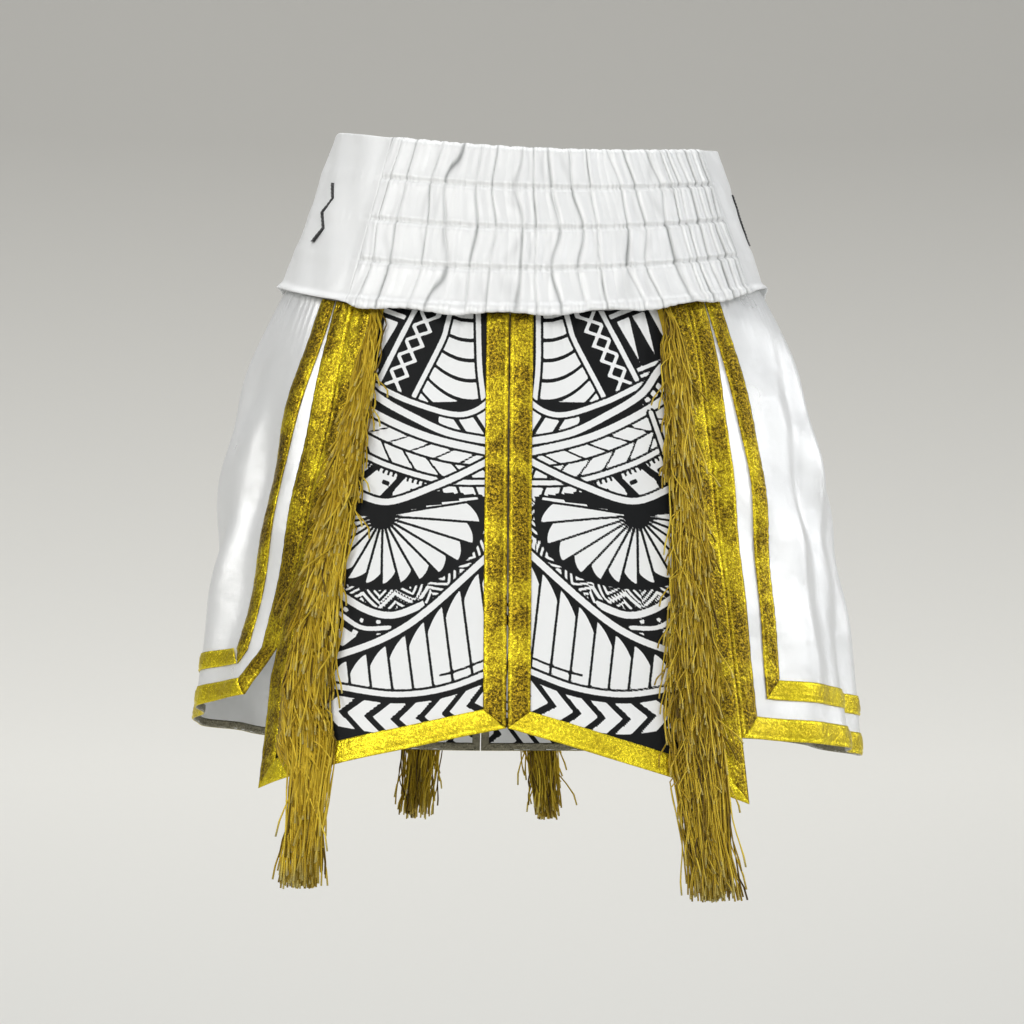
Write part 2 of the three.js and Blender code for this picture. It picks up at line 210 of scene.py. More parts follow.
for name, place, aim, size, power, tone in (
        ("key_lamp", (-1.5, -2.15, 0.9), (0, 0, -0.25), 1.2, 33, (1, 0.99, 0.97)),
        ("side_lamp", (2.2, -0.3, 0.5), (0.05, 0, -0.25), 0.9, 15, (0.97, 0.98, 1)),
        ("front_lamp", (0.5, -2.9, 0.6), (0, 0, -0.3), 1.2, 17, (1, 1, 1)),
        ("top_lamp", (0, -0.4, 2.2), (0, 0, -0.3), 1.2, 13, (1, 1, 1)),
        ("wall_lamp", (0, 1.6, 3.0), (0, 6.0, -0.9), 3.0, 124, (1, 1, 0.98))):
    lamp = bpy.data.objects.new(name, bpy.data.lights.new(name, "AREA"))
    lamp.data.size, lamp.data.energy, lamp.data.color = size, power, tone
    lamp.location = place
    lamp.rotation_euler = (lamp.location - type(lamp.location)(aim)).to_track_quat("Z", "Y").to_euler()
    bpy.context.collection.objects.link(lamp)
world = bpy.data.worlds.new("studio_air")
world.use_nodes = True
world.node_tree.nodes["Background"].inputs[0].default_value = (0.95, 0.97, 1, 1)
world.node_tree.nodes["Background"].inputs[1].default_value = 0.32
bpy.context.scene.world = world
bpy.context.scene.view_settings.view_transform = "Standard"


# ---------------- waistband
# White satin gathered over four flat elastics, with a row of stitching between each two.
# The cloth puffs out in each channel and pinches in at the stitches; at the hips it lies flat.
def mix(first, last, share):
    return first + (last - first) * share


def smooth_step(value, low, high):
    share = np.clip((value - low) / (high - low), 0, 1)
    return share * share * (3 - 2 * share)


# Every piece lies on one surface: ellipses that widen downwards from the waist.
# Angles are degrees round the body from the middle of the front, towards +X.
WAIST_HALF_WIDTH, WAIST_HALF_DEPTH = 0.134, 0.086
HIP_HALF_WIDTH, HIP_HALF_DEPTH = 0.169, 0.112
BAND_HEIGHT = 0.108


def swell(z, waist, hip, fullness, flare):
    drop = np.maximum(0, -BAND_HEIGHT - z)
    below = hip + fullness * (1 - np.exp(-drop / 0.05)) + flare * drop
    return np.where(z > -BAND_HEIGHT, waist - (hip - waist) * z / BAND_HEIGHT, below)


def on_body(angle, z, out):
    angle, z, out = np.broadcast_arrays(np.radians(angle), z, out)
    width = swell(z, WAIST_HALF_WIDTH, HIP_HALF_WIDTH, 0.026, 0.127)
    depth = swell(z, WAIST_HALF_DEPTH, HIP_HALF_DEPTH, 0.012, 0.11)
    side, front = np.sin(angle), np.cos(angle)
    length = np.hypot(side / width, front / depth)
    return np.stack([width * side + out * side / width / length,
                     -depth * front - out * front / depth / length, z], axis=-1)


def dip(angle, front, back):
    cosine = np.cos(np.radians(angle))
    return np.where(cosine > 0, front, back) * np.abs(cosine) ** 1.5


def rim_height(angle):
    return -0.035 * WAIST_HALF_WIDTH * np.sin(np.radians(angle)) - dip(angle, 0.028, 0.006)


def seam_height(angle):
    return -BAND_HEIGHT - dip(angle + 5, 0.043, 0.020)


def on_band(angle, share, out):
    share = np.asarray(share)[..., None]
    top = on_body(angle, rim_height(angle), out)
    return top + share * (on_body(angle, seam_height(angle), out) - top)


def raise_surface(tree, height, distance, strength=1.0, under=None):
    made = tree.nodes.new("ShaderNodeBump")
    made.inputs["Strength"].default_value = strength
    made.inputs["Distance"].default_value = distance
    tree.links.new(height, made.inputs["Height"])
    if under is not None:
        tree.links.new(under, made.inputs["Normal"])
    return made.outputs[0]


# Crossed threads, as a height: warp and weft sines over the flat cloth. Satin weave shows
# mostly one direction, so the weft is weaker.
weave = bpy.data.node_groups.new("thread_weave", "ShaderNodeTree")
weave.interface.new_socket("Threads per metre", in_out="INPUT", socket_type="NodeSocketFloat")
weave.interface.new_socket("Weft share", in_out="INPUT", socket_type="NodeSocketFloat")
weave.interface.new_socket("Height", in_out="OUTPUT", socket_type="NodeSocketFloat")
weave_in = weave.nodes.new("NodeGroupInput")
weave_flat = weave.nodes.new("ShaderNodeUVMap")
weave_flat.uv_map = "cloth"
weave_axes = weave.nodes.new("ShaderNodeSeparateXYZ")
weave.links.new(weave_flat.outputs[0], weave_axes.inputs[0])
thread_turns = calc(weave, "MULTIPLY", weave_in.outputs[0], 6.2832)
warp = calc(weave, "SINE", calc(weave, "MULTIPLY", weave_axes.outputs[0], thread_turns))
weft = calc(weave, "SINE", calc(weave, "MULTIPLY", weave_axes.outputs[1], thread_turns))
weave_out = weave.nodes.new("NodeGroupOutput")
weave.links.new(calc(weave, "MULTIPLY_ADD", weft, weave_in.outputs[1], warp), weave_out.inputs[0])


def weave_height(tree, threads_per_metre, weft_share):
    group = tree.nodes.new("ShaderNodeGroup")
    group.node_tree = weave
    group.inputs[0].default_value = threads_per_metre
    group.inputs[1].default_value = weft_share
    return group.outputs[0]


BAND_OUT = 0.0042


def satin_material(name, tint, gloss, rough):
    material, tree, shader = start_material(
        name, Metallic=gloss, Sheen_Weight=0.2, Sheen_Roughness=0.35, Anisotropic=0.4,
        Specular_IOR_Level=0.6)
    soft = noise(tree, object_place(tree), 22, 3)
    shade = tuple(channel * 0.93 for channel in tint[:3]) + (1,)
    # The "crease" mark darkens the colour towards grey: painted shade in the creases of the gathered band.
    crease = tree.nodes.new("ShaderNodeAttribute")
    crease.attribute_name = "crease"
    lit = blend_colour(tree, soft, tint, shade)
    crease_shade = calc(tree, "MULTIPLY", crease.outputs["Fac"], 0.85)
    tree.links.new(blend_colour(tree, crease_shade, lit, (0.30, 0.31, 0.31, 1)), shader.inputs["Base Color"])
    tree.links.new(spread(tree, soft, 0.3, 0.7, rough, rough + 0.09), shader.inputs["Roughness"])
    billow = raise_surface(tree, noise(tree, object_place(tree), 26, 2, 0.4), 0.007, 0.36)
    crumple = raise_surface(tree, noise(tree, object_place(tree), 130, 2), 0.0004, 0.4, billow)
    threads = weave_height(tree, 2300, 0.35)
    tree.links.new(raise_surface(tree, threads, 0.00004, 0.6, crumple), shader.inputs["Normal"])
    return material


band_satin = satin_material("gathered_satin", (0.93, 0.94, 0.94, 1), 0.14, 0.33)


def gather_share(angle):
    """1 where the elastic gathers the cloth, 0 on the flat hip patches."""
    turn = (np.asarray(angle) + 180) % 360 - 180
    front = smooth_step(turn, -47, -38) * (1 - smooth_step(turn, 54, 63))
    back = smooth_step(np.abs(turn - 7.5), 142, 149)
    return front + back


def ridges(run, width, seed, sharpness=0.6):
    """Round ridges of cloth with sharp creases between them, unevenly spaced."""
    chance = np.random.default_rng(seed)
    phase = run / width
    for size in (2.3, 3.7, 6.1):
        sway = chance.uniform(0.25, 0.45)
        phase = phase + sway * np.sin(run / width / size * 3.1 + chance.uniform(0, 6.28))
    return np.abs(np.sin(np.pi * phase)) ** sharpness


def band_puff(angle, share):
    """How far the outer cloth stands proud of a smooth band, and how much painted shade darkens its creases
    and valleys.
    """
    run = np.radians(angle) * 0.135
    row = share * 4
    place = row - np.floor(row)
    to_stitch = np.minimum(place, 1 - place)
    pinch = 1 - 0.62 * np.exp(-(to_stitch / 0.055) ** 2)
    drift = 0
    for number in range(5):
        nearby = 0.5 + 0.5 * np.cos(np.pi * np.clip(np.abs(row - number), 0, 1))
        drift = drift + nearby * (0.16 * np.sin(run * 21 + number * 2.3)
                                  + 0.08 * np.sin(run * 143 + number * 4.1))
    tight = smooth_step(run, 0.070, 0.110)
    phase = run / 0.0128 + 0.45 * tight * (run - 0.070) / 0.0128 + drift
    phase = phase + 0.16 * np.sin(run * 210) + 0.08 * np.sin(run * 333 + 1) + 0.3 * np.sin(run * 47)
    plateau = np.abs(np.sin(np.pi * phase)) ** 0.36
    lean = 0.5 + 0.5 * np.sin(2 * np.pi * phase + 0.9)
    small = ridges(run + 0.0015 * np.sin(row * 2.1 + run * 20), 0.0062, 23, 0.7)
    gathers = ridges(run, 0.0034, 5, 0.8)
    near_stitch = np.exp(-(to_stitch / 0.16) ** 2)
    height = 0.0016 + pinch * (0.0038 * plateau + 0.0022 * lean + 0.0005 * small)
    height = height + near_stitch * 0.0009 * gathers
    crease = np.exp(-((run + 0.141 - 0.012 * share) / 0.0016) ** 2)
    flat = (0.0012 + 0.0009 * np.sin(run * 57 + 3 * share) * np.sin(share * 6.2 + run * 22)
            + 0.0005 * np.sin(run * 151 - 9 * share) - 0.0010 * crease
            + 0.0005 * near_stitch * ridges(run + 0.01 * share, 0.004, 9))
    gathered = gather_share(angle)
    # The second result is painted shade: colour darkening in the creases between the pleats, in their
    # valleys and between the small gathers by the stitches.
    depth = 0.62 + 0.38 * np.sin(np.round(phase) * 2.7 + np.floor(row) * 1.9)
    dark = gathered * depth * np.exp(-(np.abs(np.sin(np.pi * phase)) / mix(0.17, 0.36, tight)) ** 2)
    valley_shade = np.clip(np.sin(2 * np.pi * phase + 2.6 + 1.3 * np.sin(row * 2.9 + run * 61)), 0, 1) ** 2
    dark = dark + gathered * 0.26 * valley_shade * np.sin(np.pi * place) * (0.5 + 0.5 * np.sin(run * 93 + row))
    dark = dark + gathered * 0.24 * near_stitch * (1 - gathers) ** 2
    return gathered * height + (1 - gathered) * flat, dark


def flat_size(cloth):
    """Width and length along the cloth, in metres, measured on its flat map."""
    corners = cloth.data.uv_layers["cloth"].data
    spots = np.empty(len(corners) * 2, np.float32)
    corners.foreach_get("uv", spots)
    width, length = spots.reshape(-1, 2).max(axis=0)
    return max(0.0101, float(width)), float(length)


def make_band(node, first, last, spacing):
    columns = int((last - first) * np.pi / 180 * 0.16 / spacing)
    angle, share = np.meshgrid(np.linspace(first, last, columns), np.linspace(0, 1, 97))
    gathered = gather_share(angle)
    run = np.radians(angle) * 0.135
    selvedge = 0.007 * ridges(run, 0.011, 3)
    ruffle = 0.020 + 0.012 * np.sin(run * 130 + 0.6) + 0.006 * ridges(run, 0.009, 4)
    reach = gathered * (np.where(share > 0.985, ruffle, 0) - np.where(share < 0.02, selvedge, 0))
    # dark is painted shade for the band's creases, stored in the "crease" mark below.
    puff, dark = band_puff(angle, share)
    flare = 0.003 * smooth_step(share, 0.95, 1.0)
    outer = on_band(angle, share + reach, BAND_OUT + puff + flare)
    inner = on_band(angle, share + reach, BAND_OUT + puff + flare - 0.0009)
    band = sew_cloth(node + "_cloth", outer, inner, marks={"crease": dark})
    band.data.materials.append(band_satin)
    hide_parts(node)
    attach(band, "waistband")
    return band


for node, first, last, spacing in (("waistband_front", -43, 58, 0.00075),
                                   ("waistband_side_right", 58, 152, 0.0024),
                                   ("waistband_back", 152, 223, 0.0011),
                                   ("waistband_side_left", 223, 317, 0.0024)):
    band = make_band(node, first, last, spacing)
    flat_size(band)


# ---------------- front and back panels
# Printed satin, black under white. Each hangs from the waist seam in soft folds, gathered into
# small puckers just under it. The print is worked out in millimetres: across from the centre
# line and down from the seam, the same on both sides.
def slit_left(z):
    drop = (seam_height(-42) - z) / 0.264
    return -42 - 9.5 * np.clip(drop, 0, 1) ** 2


def side_front_left(z):
    return slit_left(z) - 0.4 - 6.5 * np.maximum(0, (-0.380 - z) / 0.031)


def centre_gap(z):
    return 0.31 - 0.05 * z / -0.440


def steady(angle):
    return lambda z: angle + 0 * z


OUTLINES = {
    "front_left": (slit_left, lambda z: -5.5 - centre_gap(z), -0.476, -0.440),
    "front_right": (steady(35), lambda z: -5.5 + centre_gap(z), -0.488, -0.440),
    "side_left": (side_front_left, steady(-154.1), -0.411, -0.436),
    "side_right": (steady(35.4), steady(165.1), -0.443, -0.448),
    "back_left": (steady(-154.5), lambda z: -174.5 + centre_gap(z), -0.430, -0.430),
    "back_right": (steady(165.5), lambda z: 185.5 - centre_gap(z), -0.430, -0.430)}


def drape(angle, z):
    """Soft folds of the hanging cloth: how far it lies outside the smooth body."""
    run = np.radians(angle) * 0.19
    below = seam_height(angle) - z
    fall = smooth_step(below, 0.0, 0.13)
    sideways = np.sin(np.radians(angle)) ** 2
    long_fold = np.sin(run * 58 + 1.1 + 3.4 * z / 0.3) + 0.5 * np.sin(run * 117 + 0.4 - 4.1 * z / 0.3)
    cross_fold = np.sin(run * 41 * np.sign(angle) + z * 66 + 0.8) * (1 - smooth_step(below, 0.16, 0.30))
    pucker = ridges(run, 0.011, 41, 0.9) - 0.5
    return (fall * (0.0010 + 0.0038 * sideways) * long_fold + 0.0026 * fall * sideways * cross_fold
            + 0.0018 * np.exp(-below / 0.016) * pucker)


def panel_spot(panel, across, down):
    start, end, hem_start, hem_end = OUTLINES[panel]
    first = start(mix(seam_height(start(-BAND_HEIGHT)), hem_start, down))
    last = end(mix(seam_height(end(-BAND_HEIGHT)), hem_end, down))
    angle = mix(first, last, across)
    z = mix(seam_height(angle) - 0.0004, mix(hem_start, hem_end, across), down)
    if panel.startswith("side"):
        rise = 0.006 if panel == "side_left" else 0.024
        z = z + rise * smooth_step(np.abs(angle), 85, 140) * down ** 2
    return angle, z


def on_panel(panel, across, down, out):
    angle, z = panel_spot(panel, across, down)
    return on_body(angle, z, out + drape(angle, z))


def curve(*corners):
    """A smooth line through a few points, as many short straight ones."""
    corners = np.array(corners, float)
    ends = np.vstack([2 * corners[0] - corners[1], corners, 2 * corners[-1] - corners[-2]])
    t = np.linspace(0, 1, 9)[:-1, None]
    spans = [0.5 * (2 * b + (c - a) * t + (2 * a - 5 * b + 4 * c - d) * t ** 2
                    + (3 * b - 3 * c + d - a) * t ** 3)
             for a, b, c, d in zip(ends, ends[1:], ends[2:], ends[3:])]
    return np.vstack(spans + [corners[-1:]])


def follow(path, x, y):
    """Length along the path to each place's nearest point on it, and the distance to its side."""
    best = np.full(x.shape, 1e9)
    along, side = np.zeros(x.shape), np.zeros(x.shape)
    run = 0.0
    for (ax, ay), (bx, by) in zip(path, path[1:]):
        length = np.hypot(bx - ax, by - ay)
        ux, uy = (bx - ax) / length, (by - ay) / length
        t = np.clip((x - ax) * ux + (y - ay) * uy, 0, length)
        distance = np.hypot(x - ax - t * ux, y - ay - t * uy)
        nearer = distance < best
        best = np.where(nearer, distance, best)
        along = np.where(nearer, run + t, along)
        side = np.where(nearer, distance * np.sign(ux * (y - ay) - uy * (x - ax) + 1e-12), side)
        run += length
    return along, side


def repeat(value, pitch):
    return (value / pitch - np.floor(value / pitch)) * pitch


def print_ink(x, y):
    """Above 0 where the white shows, below 0 in the black. x and y are in millimetres."""
    ink = np.full(x.shape, -2.0)
    white = lambda now, shape: np.maximum(now, -shape)
    black = lambda now, shape: np.minimum(now, shape)

    def bar(now, path, wide, edge=1.8):
        """A white line with a black edge to both sides."""
        away = np.abs(follow(path, x, y)[1])
        return white(black(now, away - wide / 2 - edge), away - wide / 2)

    leaf_left = curve((39, -3), (42, 10), (46, 23), (65, 63))
    leaf_right = curve((20.6, -3), (20, 39), (17.5, 65))
    lean_bar = curve((63, -4), (92, 56))
    bowl = curve((100, 47), (86, 55), (66, 66), (40, 75.6), (24, 74), (8, 62))
    sweep_high = curve((120, 25), (105, 39), (91, 59), (65, 77), (40, 90), (8, 97))
    sweep_low = curve((124, 44), (109, 60), (81, 79), (50, 94), (8, 105))
    brick_low = curve((124, 84), (104, 99), (81, 112), (46, 124), (8, 126))
    cross = curve((8, 107), (46, 126), (83, 137.6), (112, 126), (132, 118))
    near = curve((128, 190), (116, 201), (96, 215), (78, 219), (56, 211))
    far = curve((8, 172), (53, 214), (82, 234), (114, 246), (132, 250))
    tick_arc = curve((130, 205), (116, 215), (100, 227), (81, 228))
    low = curve((8, 258), (42, 271), (78, 275), (114, 268.6), (132, 264))

    # Leaf beside the centre, in slanting lobes.
    left = follow(leaf_left, x, y)[1]
    right = follow(leaf_right, x, y)[1]
    leaf = np.maximum(np.maximum(-left, right), y - 70)
    vein = repeat(y - 0.30 * x + 0.020 * (x - 18) ** 2, 15)
    ink = white(ink, np.maximum(leaf + 3.2, 1.4 - np.minimum(vein, 15 - vein)))
    # Two open zigzags on black, then three spear heads in a frame.
    outer = follow(lean_bar, x, y)
    for start, pitch in ((0, 24), (12, 24)):
        saw = np.abs(repeat(outer[0] + start, pitch) - pitch / 2)
        zigzag = np.abs(np.abs(outer[1]) - 4 - 1.05 * saw) - 1.7
        ink = white(ink, np.maximum(np.maximum(zigzag, left + 3), -(x - 30)))
    spear = np.abs(repeat(outer[0] * 0.1 + np.abs(outer[1]) + 6, 12.5) - 6.2)
    blade = 4.6 * np.clip((46 - outer[0]) / 30, 0, 1)
    outside = x > np.interp(y, lean_bar[:, 1], lean_bar[:, 0])
    ink = np.where(outside, -2.0, ink)
    ink = np.where(outside, white(ink, np.maximum(spear - blade, 14 - outer[0])), ink)
    ink = np.where(outside, white(ink, np.abs(outer[0] - 9) - 1.7), ink)
    ink = np.where(outside, white(ink, np.abs(outer[0] - 52) - 1.4), ink)
    ink = np.where(outside, white(ink, np.abs(outer[0] - 57) - 1.1), ink)
    ink = bar(ink, lean_bar, 3.6)
    ink = bar(ink, leaf_left, 3.4)
    ink = bar(ink, leaf_right, 3.4)

    # Sweeps across under them, with slanted blocks next to the centre.
    under_bowl = y > np.interp(x, bowl[::-1, 0], bowl[::-1, 1])
    ink = np.where(under_bowl, -2.0, ink)
    blocks = repeat(x + 0.6 * y, 14) - 7
    ink = np.where(under_bowl & (x < 48), white(ink, np.abs(blocks) - 5.4), ink)
    flank = repeat(0.8 * x - 0.8 * y, 7.5) - 3.7
    ink = np.where(under_bowl & (x > 92), white(ink, np.abs(flank) - 2.2), ink)
    ink = bar(ink, bowl, 3.8)
    ink = bar(ink, sweep_high, 5.0)

    # Plaited bricks between the low sweep and the next line.
    low_side = y > np.interp(x, sweep_low[::-1, 0], sweep_low[::-1, 1])
    ink = np.where(low_side, -2.0, ink)
    above = follow(sweep_low, x, y)
    below = follow(brick_low, x, y)
    over, under = np.abs(above[1]), np.abs(below[1])
    upper_half = over < under
    cell = repeat(np.where(upper_half, above[0] + 1.1 * over, above[0] + 1.1 * under + 4), 15.5)
    brick = np.maximum(1.0 - np.minimum(cell, 15.5 - cell), 0.9 - np.abs(over - under) / 2)
    bricked = low_side & (y < np.interp(x, brick_low[::-1, 0], brick_low[::-1, 1]))
    ink = np.where(bricked, -brick, ink)
    # Hooked teeth under the bricks, and a row of blocks towards the centre.
    tooth = repeat(below[0], 20)
    body = np.abs(tooth - 10 + 0.4 * (under - 10)) - 7.6
    notch = np.maximum(np.abs(tooth - 13) - 2.6, np.abs(under - 12) - 1.6)
    comb = np.maximum(np.abs(repeat(below[0], 3.6) - 1.8) - 0.8, under - 6.5)
    teeth = np.maximum(np.maximum(body, -notch), -comb)
    beneath = low_side & ~bricked
    ink = np.where(beneath, -teeth, ink)
    row = repeat(x + 0.35 * y, 11.5)
    small_blocks = np.maximum(1.0 - np.minimum(row, 11.5 - row), -10.0)
    below_cross = y > np.interp(x, cross[:, 0], cross[:, 1])
    ink = np.where(below_cross, -2.0, ink)
    ink = np.where(below_cross & (y < 137 - 0.10 * x) & (x < 58), -small_blocks, ink)
    ink = bar(ink, sweep_low, 5.2)
    ink = bar(ink, brick_low, 3.4)
    ink = np.where(low_side & (y < 132), bar(ink, curve((97.6, 72), (106, 99), (114, 126)), 3.2), ink)
    ink = bar(ink, cross, 4.6)

    # Fan of hooked petals round a dark hub, on black.
    across, down = x - 86.4, y - 148.0
    reach = np.hypot(across, down)
    turn = np.degrees(np.arctan2(down, across))
    turn = np.where(turn < -90, turn + 360, turn)
    fan = 49 + 17 * smooth_step(turn, 95, 175)
    around = repeat(turn + 8, 14.0)
    petal_side = np.minimum(around, 14.0 - around) * np.radians(1) * reach - 0.9
    hooked = fan - 9 * (around / 14.0) ** 1.5 - reach
    petal = np.minimum(np.minimum(petal_side, hooked), reach - 9)
    in_fan = (turn > -10) & (turn < 191)
    in_fan = in_fan & (y > np.interp(x, cross[:, 0], cross[:, 1]) + 5)
    ink = np.where(in_fan, np.maximum(ink, np.minimum(petal, 2)), ink)
    # Hatched zigzag round the fan.
    wide = 22.0
    swing = repeat(turn, wide)
    teeth = np.abs(swing / wide - 0.5) * 2
    ring = np.minimum(reach - fan - 4, fan + 24 - reach)
    rim = 1.3 - np.abs(reach - fan - 7 - 10 * teeth)
    hatch = repeat(np.where(swing < wide / 2, turn + reach, turn - reach), 4.8)
    strokes = np.minimum(1.1 - np.abs(hatch - 2.4), np.abs(reach - fan - 7 - 10 * teeth) - 2.6)
    hatched = np.minimum(np.maximum(rim, strokes), ring)
    ink = np.where(in_fan, np.maximum(ink, hatched), ink)

    # Arcs that cross under the fan.
    beyond = y > np.interp(x, far[:, 0], far[:, 1])
    corner = (y > np.interp(x, near[::-1, 0], near[::-1, 1])) & (x > 56)
    ink = np.where(beyond | corner, -2.0, ink)
    run_tick, side_tick = follow(tick_arc, x, y)
    spur = np.maximum(np.abs(repeat(run_tick, 14) - 7) - 1.6, np.abs(side_tick) - 6)
    ink = np.where(corner & (x > 78), white(ink, spur), ink)
    ink = np.where(corner, white(ink, np.abs(x - 112) * 0.8 + np.abs(y - 233) - 7), ink)
    ink = np.where(x > 78, bar(ink, tick_arc, 3.0), ink)
    ink = np.where((x > 58) & ~beyond, bar(ink, near, 4.8), ink)

    # Tall pickets that stand on the lowest arc, with pointed heads leaning to the centre.
    ceiling = np.interp(x, far[:, 0], far[:, 1])
    floor = np.interp(x, low[:, 0], low[:, 1])
    picket = repeat(x + 0.12 * (y - 250), 13.6)
    crown = ceiling + 6 + 11 * (picket / 13.6) ** 2
    stake = np.minimum(np.minimum(picket - 0.9, 12.7 - picket), np.minimum(y - crown, floor - 3.6 - y))
    ink = np.where(beyond, np.clip(stake, -2, 2), ink)
    ink = bar(ink, far, 4.6)
    thorn = np.maximum(np.abs(y - floor + 10) - 0.9, x - 48)
    ink = np.where(beyond, black(ink, thorn), ink)
    ink = bar(ink, low, 3.8)
    # Bold chevrons along the hem.
    row = (y - floor - 4.5) / 25
    chevron = repeat(x - 13 * (1 - np.abs(2 * row - 1)), 16.8)
    point = np.minimum(np.minimum(chevron, 11.4 - chevron), np.minimum(row - 0.07, 0.93 - row) * 25)
    ink = np.where(y > floor + 3.7, np.clip(point, -2, 2), ink)
    return np.clip(ink, -2, 2)


def printed_material():
    material, tree, shader = start_material(
        "printed_satin", Anisotropic=0.3, Specular_IOR_Level=0.12)
    ink = tree.nodes.new("ShaderNodeAttribute")
    ink.attribute_name = "ink"
    ragged = calc(tree, "MULTIPLY_ADD", noise(tree, object_place(tree), 700, 2), 0.5, -0.25)
    share = add_node(tree, "MapRange", calc(tree, "ADD", ink.outputs["Fac"], ragged), -0.16, 0.16, 0, 1)
    soft = noise(tree, object_place(tree), 26, 3)
    paper = blend_colour(tree, soft, (0.93, 0.94, 0.94, 1), (0.85, 0.865, 0.87, 1))
    dye = blend_colour(tree, soft, (0.004, 0.0045, 0.005, 1), (0.009, 0.010, 0.011, 1))
    tree.links.new(blend_colour(tree, share, dye, paper), shader.inputs["Base Color"])
    tree.links.new(spread(tree, soft, 0.3, 0.7, 0.40, 0.50), shader.inputs["Roughness"])
    threads = weave_height(tree, 2300, 0.35)
    crumple = raise_surface(tree, noise(tree, object_place(tree), 120, 3), 0.0004, 0.4)
    tree.links.new(raise_surface(tree, threads, 0.00004, 0.5, crumple), shader.inputs["Normal"])
    return material


def hang(piece):
    """Bakes the piece's world placement into its points."""
    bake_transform(piece)


CLOTH_OUT = 0.0008
printed_satin = printed_material()
white_satin = satin_material("white_satin", (0.95, 0.96, 0.96, 1), 0.38, 0.27)


def make_panel(flap, columns, rows, material):
    across, down = np.meshgrid(np.linspace(0, 1, columns), np.linspace(0, 1, rows) ** 1.1)
    outer = on_panel(flap, across, down, CLOTH_OUT)
    inner = on_panel(flap, across, down, 0.0)
    marks = None
    if material is printed_satin:
        angle, z = panel_spot(flap, across, down)
        x = on_body(angle, z, 0)[..., 0]
        marks = {"ink": print_ink(np.abs(x + 0.0195) * 1000, (-0.150 - z) / 0.97 * 1000)}
    panel = sew_cloth(flap + "_cloth", outer, inner, marks=marks)
    panel.data.materials.append(material)
    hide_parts(flap + "_panel")
    hang(panel)
    return panel


for flap, columns, rows in (("front_left", 150, 250), ("front_right", 150, 250),
                            ("back_left", 60, 190), ("back_right", 60, 190)):
    panel = make_panel(flap, columns, rows, printed_satin)
    flat_size(panel)


# ---------------- side panels
# Plain white satin in longer, deeper folds, from the front slit round to the back one.
for flap in ("side_left", "side_right"):
    panel = make_panel(flap, 190, 140, white_satin)
    flat_size(panel)


# ---------------- gold bindings and stripes
# Crinkled gold foil. The bindings are folded over the panels' edges and stitched down; the
# stripes are tapes sewn on the side panels a little way in.
BINDING_WIDTH, STRIPE_WIDTH, TAPE_WIDTH = 0.015, 0.014, 0.008


def foil_material():
    material, tree, shader = start_material("gold_foil", Metallic=0.85, Specular_IOR_Level=0.6)
    place = object_place(tree)
    # The foil's colour is painted lighter and darker in broad patches and fine specks: partly the foil's own
    # grain, partly painted reflection of the crinkled surface.
    patches = noise(tree, place, 34, 4, 0.6)
    grains = noise(tree, place, 620, 3, 0.7)
    specks = noise(tree, place, 1500, 2, 0.6)
    painted_light = spread(tree, patches, 0.47, 0.64)
    grain_and_glint = spread(tree, calc(tree, "MULTIPLY_ADD", specks, 0.6, grains), 0.72, 0.96)
    # The painted highlight mark brightens the colour on the hems and along each strip's edges.
    painted_highlight = tree.nodes.new("ShaderNodeAttribute")
    painted_highlight.attribute_name = "painted_highlight"
    painted_light = calc(tree, "MULTIPLY_ADD", painted_highlight.outputs["Fac"], 0.55, painted_light)
    grain_and_glint = calc(tree, "MULTIPLY_ADD", painted_highlight.outputs["Fac"], 0.38, grain_and_glint)
    foil = blend_colour(tree, painted_light, (0.56, 0.38, 0.014, 1), (1.0, 0.82, 0.03, 1))
    dark = blend_colour(tree, painted_light, (0.055, 0.034, 0.002, 1), (0.34, 0.23, 0.008, 1))
    # Inside the fold the colour turns to a dull olive grey: painted shade on the binding's hidden inner
    # face.
    inside_fold = tree.nodes.new("ShaderNodeAttribute")
    inside_fold.attribute_name = "inside"
    face = blend_colour(tree, grain_and_glint, dark, foil)
    painted_inside_shade = blend_colour(tree, inside_fold.outputs["Fac"], face, (0.24, 0.225, 0.16, 1))
    tree.links.new(painted_inside_shade, shader.inputs["Base Color"])
    tree.links.new(spread(tree, grain_and_glint, 0, 1, 0.50, 0.26), shader.inputs["Roughness"])
    crinkle = raise_surface(tree, noise(tree, place, 300, 4, 0.6), 0.0012, 0.9)
    tree.links.new(raise_surface(tree, grains, 0.0004, 0.8, crinkle), shader.inputs["Normal"])
    return material


gold_foil = foil_material()


def per_length(panel, across, down):
    """Shares of the panel's width and height that one metre takes at a place on it."""
    step = 0.002
    spot = lambda a, d: on_body(*panel_spot(panel, a, d), 0)
    wide = np.linalg.norm(spot(across + step, down) - spot(across - step, down), axis=-1)
    tall = np.linalg.norm(spot(across, down + step) - spot(across, down - step), axis=-1)
    return 2 * step / wide, 2 * step / tall


def along_side(panel, at_end, inset, last_inset, share):
    """Places at an inset in from a side edge, ending where the hem's strip crosses."""
    edge = 1.0 if at_end else 0.0
    tall = per_length(panel, np.array(edge), np.array(1.0))[1]
    down = share * (1 - last_inset * tall)
    place = inset * per_length(panel, np.full(down.shape, edge), down)[0]
    return (1 - place if at_end else place), down


def along_hem(panel, inset, share):
    first = inset * per_length(panel, np.array(0.0), np.array(1.0))[0]
    last = 1 - inset * per_length(panel, np.array(1.0), np.array(1.0))[0]
    across = mix(first, last, share)
    return across, 1 - inset * per_length(panel, across, np.ones(across.shape))[1]


def crinkle(angle, z, seed):
    run = np.radians(angle) * 0.19 * 1000
    z = np.asarray(z) * 1000
    chance = np.random.default_rng(seed)
    height = np.zeros(np.shape(run + z))
    for pitch in (3.1, 4.7, 7.3, 11.0):
        lean = chance.uniform(0, 6.28)
        wave = (run * np.cos(lean) + z * np.sin(lean)) / pitch * 6.28
        height = height + np.sin(wave + chance.uniform(0, 6.28) + 0.8 * np.sin(wave * 0.37)) * pitch / 11
    return height * 0.00013


